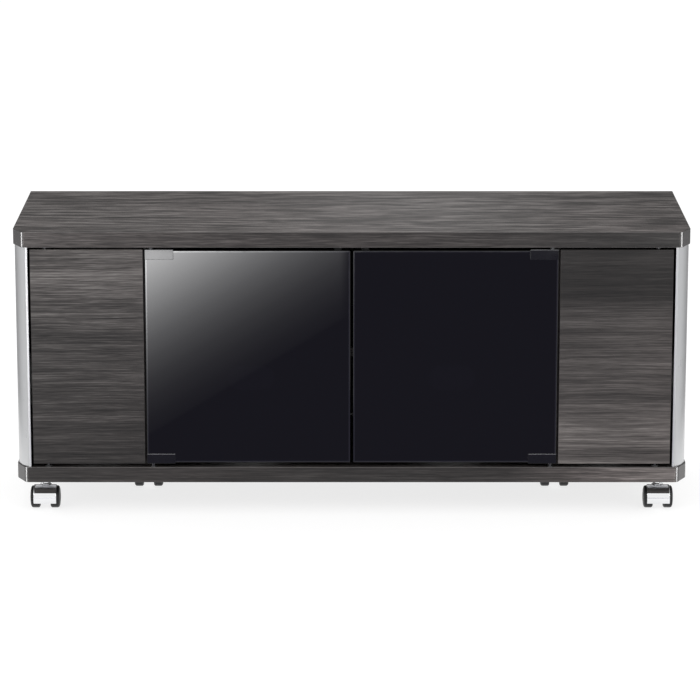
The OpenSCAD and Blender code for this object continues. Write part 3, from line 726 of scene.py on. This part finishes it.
def glass_door(side, sx):
    body = f"{side}_glass_door"
    lo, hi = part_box(f"{side}_glass_pane")
    # pane with a flat-polished border, front and back, and ground edges
    bm = bmesh.new()
    pts = ccw(rounded(rect(lo.x, lo.z, hi.x, hi.z), 1.6 * MM, 5))
    steps = [(0.0, 2.7), (0.012, 0.55), (0.16, 0.16), (0.5, 0.0)]
    levels = [(lo.y + d * MM, i * MM) for d, i in steps] + [(hi.y - d * MM, i * MM) for d, i in reversed(steps)]
    rings = []
    for y, i in levels:
        ring = inset(pts, i) if i > 0 else pts
        if i > 1.6 * MM:
            ring = [(min(max(p_[0], lo.x + i), hi.x - i), min(max(p_[1], lo.z + i), hi.z - i)) for p_ in pts]
            ring = [(q[0] + 1e-5 * (pts[k][0] - q[0]), q[1] + 1e-5 * (pts[k][1] - q[1])) for k, q in enumerate(ring)]
        rings.append([bm.verts.new((p_[0], y, p_[1])) for p_ in ring])
    n = len(pts)
    for k, (a, b) in enumerate(zip(rings, rings[1:])):
        for i in range(n):
            j = (i + 1) % n
            f = bm.faces.new((a[i], a[j], b[j], b[i]))
            f.material_index = 1
    bm.faces.new(list(reversed(rings[0])))
    bm.faces.new(rings[-1])
    make(bm, f"{side}_glass_door_pane", body, [M_GLASS, M_GLASS_EDGE], (f"{side}_glass_pane",), angle=2)

    clo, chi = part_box(f"{side}_glass_clamps")
    gt = hi.y - lo.y
    # the clamp's own edges come from the CAD: front plate, web, back block, pin
    bm = bmesh.new()
    x0, x1 = clo.x, chi.x
    px = x1 - 10.8 * MM if sx > 0 else x0 + 10.8 * MM
    py = (lo.y + hi.y) / 2
    for up in (1, -1):
        edge = hi.z if up > 0 else lo.z
        def z(h):
            return edge - up * h
        def bx(p, q, **kw):
            a = (min(p[0], q[0]), min(p[1], q[1]), min(p[2], q[2]))
            b = (max(p[0], q[0]), max(p[1], q[1]), max(p[2], q[2]))
            return add_box(bm, a, b, **kw)
        plate = bx((x0, lo.y - 1.5 * MM, z(-2.2 * MM)), (x1, lo.y - 0.3 * MM, z(15.5 * MM)), r=0.55 * MM, rc=1.0 * MM, axis="y")
        bmesh.ops.recalc_face_normals(bm, faces=plate)
        for f in plate:
            # painted highlight: a lighter grey rim along the plate's upper edge
            if 0.25 < f.normal.z < 0.97 and f.normal.y < -0.2:
                f.material_index = 4
        bx((x0, hi.y + 0.3 * MM, z(-2.2 * MM)), (x1, hi.y + 4.2 * MM, z(15.5 * MM)), r=0.6 * MM, rc=1.2 * MM, axis="y")
        bx((x0 + 0.3 * MM, lo.y - 0.9 * MM, z(-2.15 * MM)), (x1 - 0.3 * MM, hi.y + 3.4 * MM, z(-0.3 * MM)), r=0.2 * MM, rc=0.3 * MM, axis="z")
        # grip pads between the metal and the glass
        for a, b in ((lo.y - 0.3 * MM, lo.y), (hi.y, hi.y + 0.3 * MM)):
            bx((x0 + 1.2 * MM, a, z(0.2 * MM)), (x1 - 1.2 * MM, b, z(14.4 * MM)), r=0.02 * MM, rc=0.5 * MM, axis="y", mat=1)
        # clamp screws with a round socket in the head
        for k in (12, 32):
            sxp = (x1 - clamp_off(k)) if sx > 0 else (x0 + clamp_off(k))
            zc = edge - up * 9.0 * MM
            yb = hi.y + 4.2 * MM
            add_lathe(bm, [(0, yb - 0.9 * MM), (1.15 * MM, yb - 0.9 * MM), (1.25 * MM, yb + 0.02 * MM), (2.1 * MM, yb + 0.02 * MM), (2.25 * MM, yb - 0.15 * MM), (2.25 * MM, yb - 1 * MM)], (sxp, 0, zc), "y", 24, mat=2)
        # pivot pin with a collar against the web
        pr = [(0, -13.2), (2.6, -13.2), (3.0, -12.6), (3.0, -3.4), (4.2, -3.2), (4.2, -2.1), (0, -2.1)]
        add_lathe(bm, [(r * MM, (-h if up > 0 else h) * MM) for r, h in pr], (px, py, edge), "z", 40, mat=3)
    make(bm, f"{side}_glass_hinge_clamps", body, [M_CLAMP, M_LATCH, M_NICKEL, M_PIN, M_CLAMP_RIM_HIGHLIGHT], (f"{side}_glass_clamps",))

    slo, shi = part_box(f"{side}_glass_strike")
    bm = bmesh.new()
    r = (shi.x - slo.x) / 2
    add_lathe(bm, smooth_profile([(0, slo.y), (r, slo.y), (r, shi.y), (0, shi.y)], 0.3 * MM, 3), ((slo.x + shi.x) / 2, 0, (slo.z + shi.z) / 2), "y", 48)
    make(bm, f"{side}_glass_strike_disc", body, [M_NICKEL], (f"{side}_glass_strike",))


def clamp_off(k):
    return (50.5 - k) * MM


glass_door("left", -1)
glass_door("right", 1)

for side in ("left", "right"):
    slo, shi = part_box(f"{side}_door_strike")
    bm = bmesh.new()
    r = (shi.x - slo.x) / 2
    cx, cz = (slo.x + shi.x) / 2, (slo.z + shi.z) / 2
    add_lathe(bm, smooth_profile([(0, slo.y), (r, slo.y), (r, shi.y - 0.2 * MM), (2.6 * MM, shi.y), (1.2 * MM, shi.y - 0.6 * MM), (0, shi.y - 0.6 * MM)], 0.15 * MM, 3), (cx, 0, cz), "y", 48)
    make(bm, f"{side}_door_strike_disc", f"{side}_wood_door", [M_NICKEL], (f"{side}_door_strike",))

# ---------------------------------------------------------------- push latches

llo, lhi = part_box("push_latch_housings")
bm = bmesh.new()
for pl in ("left_glass_plunger", "right_glass_plunger", "left_door_plunger", "right_door_plunger"):
    plo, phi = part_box(pl)
    cx, cz = (plo.x + phi.x) / 2, (plo.z + phi.z) / 2
    y0 = plo.y + 3.3 * MM if "glass" in pl else plo.y + 3.1 * MM
    add_box(bm, (cx - 7 * MM, y0, lhi.z - 21.5 * MM), (cx + 7 * MM, y0 + 62 * MM, lhi.z), r=1.0 * MM, rc=1.6 * MM, axis="y")
    add_box(bm, (cx - 7 * MM, y0 + 60 * MM, lhi.z - 3 * MM), (cx + 7 * MM, y0 + 76 * MM, lhi.z), r=0.5 * MM, rc=2.5 * MM, axis="z")
    # moulded rails along both flanks
    for s in (-1, 1):
        add_box(bm, (cx + s * 7 * MM - 0.45 * MM, y0 + 5 * MM, lhi.z - 15 * MM), (cx + s * 7 * MM + 0.45 * MM, y0 + 56 * MM, lhi.z - 12.5 * MM), r=0.2 * MM, axis="y")
    # collar round the plunger, fixing screw in the foot
    add_lathe(bm, [(4.7 * MM, y0 - 0.6 * MM), (6.0 * MM, y0 - 0.6 * MM), (6.3 * MM, y0 - 0.2 * MM), (6.3 * MM, y0 + 1 * MM), (4.7 * MM, y0 + 1 * MM)], (cx, 0, cz), "y", 40, closed=True)
    add_lathe(bm, [(0, -3.9 * MM), (1.4 * MM, -3.9 * MM), (3.0 * MM, -3.3 * MM), (3.2 * MM, -2.9 * MM), (0, -2.9 * MM)], (cx, y0 + 69 * MM, lhi.z), "z", 32, mat=1)
make(bm, "push_latch_bodies", "cabinet", [M_LATCH, M_ZINC], ("push_latch_housings",))

for pl in ("left_glass_plunger", "right_glass_plunger", "left_door_plunger", "right_door_plunger"):
    plo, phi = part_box(pl)
    cx, cz = (plo.x + phi.x) / 2, (plo.z + phi.z) / 2
    bm = bmesh.new()
    add_lathe(bm, smooth_profile([(0, plo.y + 0.25 * MM), (2.6 * MM, plo.y + 0.25 * MM), (2.6 * MM, plo.y), (4.5 * MM, plo.y), (4.5 * MM, plo.y + 3 * MM), (4.2 * MM, plo.y + 3.2 * MM), (4.2 * MM, phi.y), (0, phi.y)], [0, 0, 0, 0.5 * MM, 0, 0, 0.3 * MM, 0], 4), (cx, 0, cz), "y", 48)
    for f in bm.faces:
        c = f.calc_center_median()
        if math.hypot(c.x - cx, c.z - cz) < 2.6 * MM and c.y < plo.y + 1 * MM:
            f.material_index = 1
    make(bm, pl + "_rod", pl, [M_MAGNET, M_NICKEL], (pl,))

# ---------------------------------------------------------------- small fittings that stay as designed

cad_look(["shelf_pins"], M_NICKEL)
cad_look(["pivot_bushes"], M_BUSH)
cad_look(["carcass_screws", "cam_locks", "back_panel_screws", "caster_mount_screws"], M_ZINC)

# ---------------------------------------------------------------- casters

WHEEL_R = 20 * MM
CASTERS = ["front_left", "front_right", "middle_left", "middle_right", "rear_left", "rear_right"]


def caster(key):
    body = f"{key}_caster"
    alo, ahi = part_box(f"{key}_axle")
    hlo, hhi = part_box(f"{key}_hood")
    cx, ay, az = (alo.x + ahi.x) / 2, (alo.y + ahi.y) / 2, (alo.z + ahi.z) / 2
    hw = (hhi.x - hlo.x) / 2
    sy = ay + 12 * MM
    ro, ri = WHEEL_R + 2 * MM, WHEEL_R + 0.6 * MM
    bm = bmesh.new()
    # hood shell: closed loop of radius and width, swept from the front lip over the top to the back
    loop = rounded([(ri, -hw + 0.02 * MM), (ro, -hw + 0.02 * MM), (ro, hw - 0.02 * MM), (ri, hw - 0.02 * MM)], [0.2 * MM, 1.0 * MM, 1.0 * MM, 0.2 * MM], 5)
    z_cut = 0.6 * WHEEL_R - WHEEL_R
    t_front = math.pi + math.asin(-z_cut / ro)
    t_back = math.asin(0.1 * WHEEL_R / ro)
    add_lathe(bm, loop, (cx, ay, az), "x", 60, start=t_back, sweep=t_front - t_back, closed=True)
    # rolled lip along the front lower edge
    ly, lz = ay + (ro - 0.7 * MM) * math.cos(t_front), az + (ro - 0.7 * MM) * math.sin(t_front)
    add_lathe(bm, smooth_profile([(0, -hw + 0.3 * MM), (0.85 * MM, -hw + 0.3 * MM), (0.85 * MM, hw - 0.3 * MM), (0, hw - 0.3 * MM)], 0.3 * MM, 3), (cx, ly, lz + 0.2 * MM), "x", 20)
    # body between the wheels
    web = 8.9 * MM
    n = 40
    a0 = math.asin(z_cut / (ri + 0.1 * MM))
    arc = [(ay + (ri + 0.1 * MM) * math.cos(a0 + (math.pi - 2 * a0) * i / n), az + (ri + 0.1 * MM) * math.sin(a0 + (math.pi - 2 * a0) * i / n)) for i in range(n + 1)]
    add_prism(bm, arc, cx - web, cx + web, 0.5 * MM, 3, "yz")
    # neck round the swivel stud, flared where it leaves the hood
    top = hhi.z
    prof = smooth_profile([(0, az - 6 * MM), (8.55 * MM, az - 6 * MM), (8.55 * MM, top - 0.2 * MM), (7.6 * MM, top), (4.3 * MM, top), (4.3 * MM, top - 2 * MM), (0, top - 2 * MM)], [0, 0.5 * MM, 0.8 * MM, 0, 0, 0, 0], 4)
    add_lathe(bm, prof, (cx, sy, 0), "z", 56)
    fillet = [(10.7 * MM, az + 20.45 * MM), (9.6 * MM, az + 21.6 * MM), (8.7 * MM, az + 24.6 * MM), (8.5 * MM, az + 26.5 * MM), (8.0 * MM, az + 26.5 * MM), (8.0 * MM, az + 20.45 * MM)]
    add_lathe(bm, fillet, (cx, sy, 0), "z", 56, closed=True)
    make(bm, f"{key}_caster_hood_shell", body, [M_CHROME], (f"{key}_hood",), angle=42)
    cad_look([f"{key}_axle"], M_ZINC)

    for w in ("outer", "inner"):
        nm = f"{key}_{w}_wheel"
        wlo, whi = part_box(nm)
        s = 1 if (wlo.x + whi.x) / 2 > cx else -1
        outline = [
            (0.0, 26.15), (3.2, 26.15), (3.9, 25.75), (6.2, 25.75), (6.9, 26.35), (12.6, 26.45), (15.2, 26.1),
            (17.6, 25.4), (19.0, 24.4), (19.75, 23.2), (20.0, 21.6), (20.0, 12.2), (19.7, 11.5), (18.5, 9.95), (18.0, 9.7), (16.2, 9.7), (16.0, 9.9),
            (16.0, 21.6), (15.6, 22.0), (7.4, 22.0), (7.0, 21.6), (7.0, 10.6), (6.7, 10.3), (2.7, 10.3), (2.55, 10.5), (2.55, 23.4), (0.0, 23.4),
        ]
        bm = bmesh.new()
        add_lathe(bm, [(r * MM, s * h * MM) for r, h in outline], (cx, ay, az), "x", 96)
        # stiffening ribs inside the cup
        for k in range(8):
            t = k * math.pi / 4 + 0.2
            c, sn = math.cos(t), math.sin(t)
            hw2 = 0.6 * MM
            q = []
            for r, o in ((6.6 * MM, -hw2), (16.3 * MM, -hw2), (16.3 * MM, hw2), (6.6 * MM, hw2)):
                q.append((ay + r * c - o * sn, az + r * sn + o * c))
            a, b = sorted((cx + s * 12.5 * MM, cx + s * 22.4 * MM))
            add_prism(bm, q, a, b, 0, 1, "yz")
        make(bm, f"{nm}_tyre", nm, [M_NYLON], (nm,), angle=30)


for key in CASTERS:
    caster(key)

# mounts: pressed plate, bearing cup, stud
mlo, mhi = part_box("caster_mounts")
bm = bmesh.new()
for key in CASTERS:
    alo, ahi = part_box(f"{key}_axle")
    cx, sy = (alo.x + ahi.x) / 2, (alo.y + ahi.y) / 2 + 12 * MM
    add_box(bm, (cx - 20 * MM, sy - 20 * MM, mhi.z - 2.2 * MM), (cx + 20 * MM, sy + 20 * MM, mhi.z), r=0.5 * MM, rc=4 * MM, axis="z")
    z = mhi.z
    add_lathe(bm, smooth_profile([(0, z - 8 * MM), (11.2 * MM, z - 8 * MM), (12.5 * MM, z - 6.2 * MM), (12.5 * MM, z - 2.9 * MM), (14.2 * MM, z - 2.1 * MM), (0, z - 2.1 * MM)], [0, 1.0 * MM, 1.0 * MM, 0.6 * MM, 0, 0], 4), (cx, sy, 0), "z", 56)
    add_lathe(bm, [(0, z - 26 * MM), (3.6 * MM, z - 26 * MM), (4.0 * MM, z - 25.5 * MM), (4.0 * MM, z - 7.5 * MM), (0, z - 7.5 * MM)], (cx, sy, 0), "z", 32)
make(bm, "caster_mount_plates", "cabinet", [M_ZINC], ("caster_mounts",))

# ---------------------------------------------------------------- stage, light, camera


def stage_mat(name, colour, rough=0.9, emit=None):
    m, nt, b = new_mat(name)
    b.inputs["Base Color"].default_value = (*colour, 1)
    b.inputs["Roughness"].default_value = rough
    b.inputs["Specular IOR Level"].default_value = 0.2
    if emit:
        b.inputs["Emission Color"].default_value = (1, 1, 1, 1)
        b.inputs["Emission Strength"].default_value = emit
    return m


bm = bmesh.new()
# one flat pale floor, wide enough for every view
grid = [[bm.verts.new((x, y, 0.0)) for x in (-14, -4, 4, 14)] for y in (-14, -4, 4, 14)]
for r0, r1 in zip(grid, grid[1:]):
    for k in range(3):
        bm.faces.new((r0[k], r0[k + 1], r1[k + 1], r1[k]))
bmesh.ops.recalc_face_normals(bm, faces=bm.faces)
me = bpy.data.meshes.new("floor")
bm.to_mesh(me)
bm.free()
floor = bpy.data.objects.new("floor", me)
bpy.context.scene.collection.objects.link(floor)
me.materials.append(stage_mat("floor_paper", (0.25, 0.25, 0.25), emit=0.78))

world = bpy.data.worlds.new("world")
bpy.context.scene.world = world
world.use_nodes = True
bg = [n for n in world.node_tree.nodes if n.type == "BACKGROUND"][0]
bg.inputs[0].default_value = (1, 1, 1, 1)
bg.inputs[1].default_value = 1.0


def area(name, loc, aim, size, power, size_y=None, spread=None):
    l = bpy.data.lights.new(name, "AREA")
    l.energy = power
    l.size = size
    if size_y:
        l.shape = "RECTANGLE"
        l.size_y = size_y
    if spread:
        l.spread = math.radians(spread)
    o = bpy.data.objects.new(name, l)
    o.location = loc
    o.rotation_euler = (Vector(aim) - Vector(loc)).to_track_quat("-Z", "Y").to_euler()
    bpy.context.scene.collection.objects.link(o)
    return o


area("key", (-2.6, -3.4, 3.0), (0, 0, 0.25), 2.2, 60)
area("fill", (3.0, -3.2, 2.2), (0, 0, 0.25), 2.2, 40)
area("back_top", (0.0, 2.0, 2.6), (0, 0, 0.5), 1.6, 15)


def card(name, verts_uv, nu, nv, put, glow):
    """A studio card that only reflections see: glow(u, v) is its brightness, stored on its corners."""
    bm = bmesh.new()
    lay = bm.loops.layers.float_color.new("glow")
    grid = [[bm.verts.new(put(i / nu, j / nv)) for i in range(nu + 1)] for j in range(nv + 1)]
    for j in range(nv):
        for i in range(nu):
            f = bm.faces.new((grid[j][i], grid[j][i + 1], grid[j + 1][i + 1], grid[j + 1][i]))
            for l, (a, c) in zip(f.loops, ((i, j), (i + 1, j), (i + 1, j + 1), (i, j + 1))):
                g = glow(a / nu, c / nv)
                l[lay] = (*g, 1.0)
    me = bpy.data.meshes.new(name)
    bm.to_mesh(me)
    bm.free()
    ob = bpy.data.objects.new(name, me)
    bpy.context.scene.collection.objects.link(ob)
    m = bpy.data.materials.new(name)
    m.use_nodes = True
    nt = m.node_tree
    nt.nodes.clear()
    at = node(nt, "ShaderNodeAttribute", attribute_name="glow")
    em = node(nt, "ShaderNodeEmission")
    nt.links.new(at.outputs["Color"], em.inputs["Color"])
    em.inputs["Strength"].default_value = 12.0
    out = node(nt, "ShaderNodeOutputMaterial")
    nt.links.new(em.outputs[0], out.inputs["Surface"])
    me.materials.append(m)
    ob.visible_camera = False
    ob.visible_diffuse = False
    ob.visible_transmission = False
    ob.visible_volume_scatter = False
    ob.visible_shadow = False
    return ob


# floor card in front: what the doors mirror. A soft light patch for the left glass door, dark elsewhere.
GLASS_Y, EYE_Y, EYE_Z = -0.1975, -6.333, 1.719
MIRROR_Y = 2 * GLASS_Y - EYE_Y


def pane_point(X, Y):
    """Where the mirror image of floor point X, Y shows on the glass, seen from the front."""
    q = (MIRROR_Y - GLASS_Y) / (MIRROR_Y - Y)
    return X * q, EYE_Z * (1 - q)


FX0, FX1, FY0, FY1 = -0.62, 0.62, -2.75, -0.42


def front_put(u, v):
    return (FX0 + (FX1 - FX0) * u, FY0 + (FY1 - FY0) * v, 0.002)


def front_glow(u, v):
    X, Y, _ = front_put(u, v)
    x, z = pane_point(X, Y)
    s_ = (0.6114 * (x * 1000 + 357.5) + (481.8 - z * 1000) - 21.2) / 1.766
    g = 0.0
    if x < 0.0:
        stops = ((-14, 11.4), (0, 10.6), (20, 7.7), (40, 5.3), (60, 3.4), (80, 2.08), (100, 1.22), (120, 0.66), (140, 0.33), (160, 0.14), (176, 0.05), (177, 0.0))
        if s_ <= -14:
            h = 11.4
        elif s_ >= 177:
            h = 0.0
        else:
            for (a, ga), (b_, gb) in zip(stops, stops[1:]):
                if a <= s_ <= b_:
                    h = ga + (gb - ga) * (s_ - a) / (b_ - a)
                    break
        edge = min(1.0, max(0.0, (0.0 - x) / 0.02))
        g += h * edge
    return ((g + 0.225) / 12.0, (g + 0.215) / 12.0, (g + 0.31) / 12.0)


card("front_card", None, 200, 240, front_put, front_glow)


# card behind: what the top board mirrors at a low angle, brightest in the middle
def rear_put(u, v):
    return (-1.6 + 3.2 * u, 0.9, 0.50 + 1.5 * v)


def rear_glow(u, v):
    x = -1.6 + 3.2 * u
    g = (0.15 + 0.46 * math.exp(-((x - 0.10) / 0.26) ** 2)) / 12.0
    return (g, g * 0.985, g * 0.98)


card("rear_card", None, 64, 4, rear_put, rear_glow)


# cards at the sides: the corner posts mirror them, lighter to the front and darker behind
def side_cards(sx):
    def put(u, v):
        return (sx * 1.02, -0.30 + 1.2 * u, 0.003 + 0.75 * v)

    def glow(u, v):
        y = -0.30 + 1.2 * u
        k = min(1.0, max(0.0, (y + 0.28) / 0.62))
        g = (1.05 - 0.72 * k) / 12.0
        return (g, g, g * 1.01)

    card("side_card_" + ("right" if sx > 0 else "left"), None, 24, 2, put, glow)

    # upright strip for the rounding at the front of each board's cut-back corner
    def sput(u, v):
        return (sx * (0.7325 + 0.025 * u), -0.2885 + 0.064 * u, 0.004 + 0.60 * v)

    st = card("strip_card_" + ("right" if sx > 0 else "left"), None, 1, 1, sput, lambda u, v: (1.6, 1.6, 1.6))
    st.light_linking.receiver_collection = linked


linked = bpy.data.collections.new("strip_receivers")
linked.objects.link(top)
linked.objects.link(base)
side_cards(-1)
side_cards(1)

cam_data = bpy.data.cameras.new("camera")
cam_data.sensor_width = 36
cam_data.lens = 182.5
cam_data.clip_end = 60
cam = bpy.data.objects.new("camera", cam_data)
cam.location = (-0.003, -6.333, 1.719)
cam.rotation_euler = (math.radians(90 - 13.0), 0, 0)
bpy.context.scene.collection.objects.link(cam)
bpy.context.scene.camera = cam

vs = bpy.context.scene.view_settings
vs.view_transform = "Standard"
vs.look = "None"
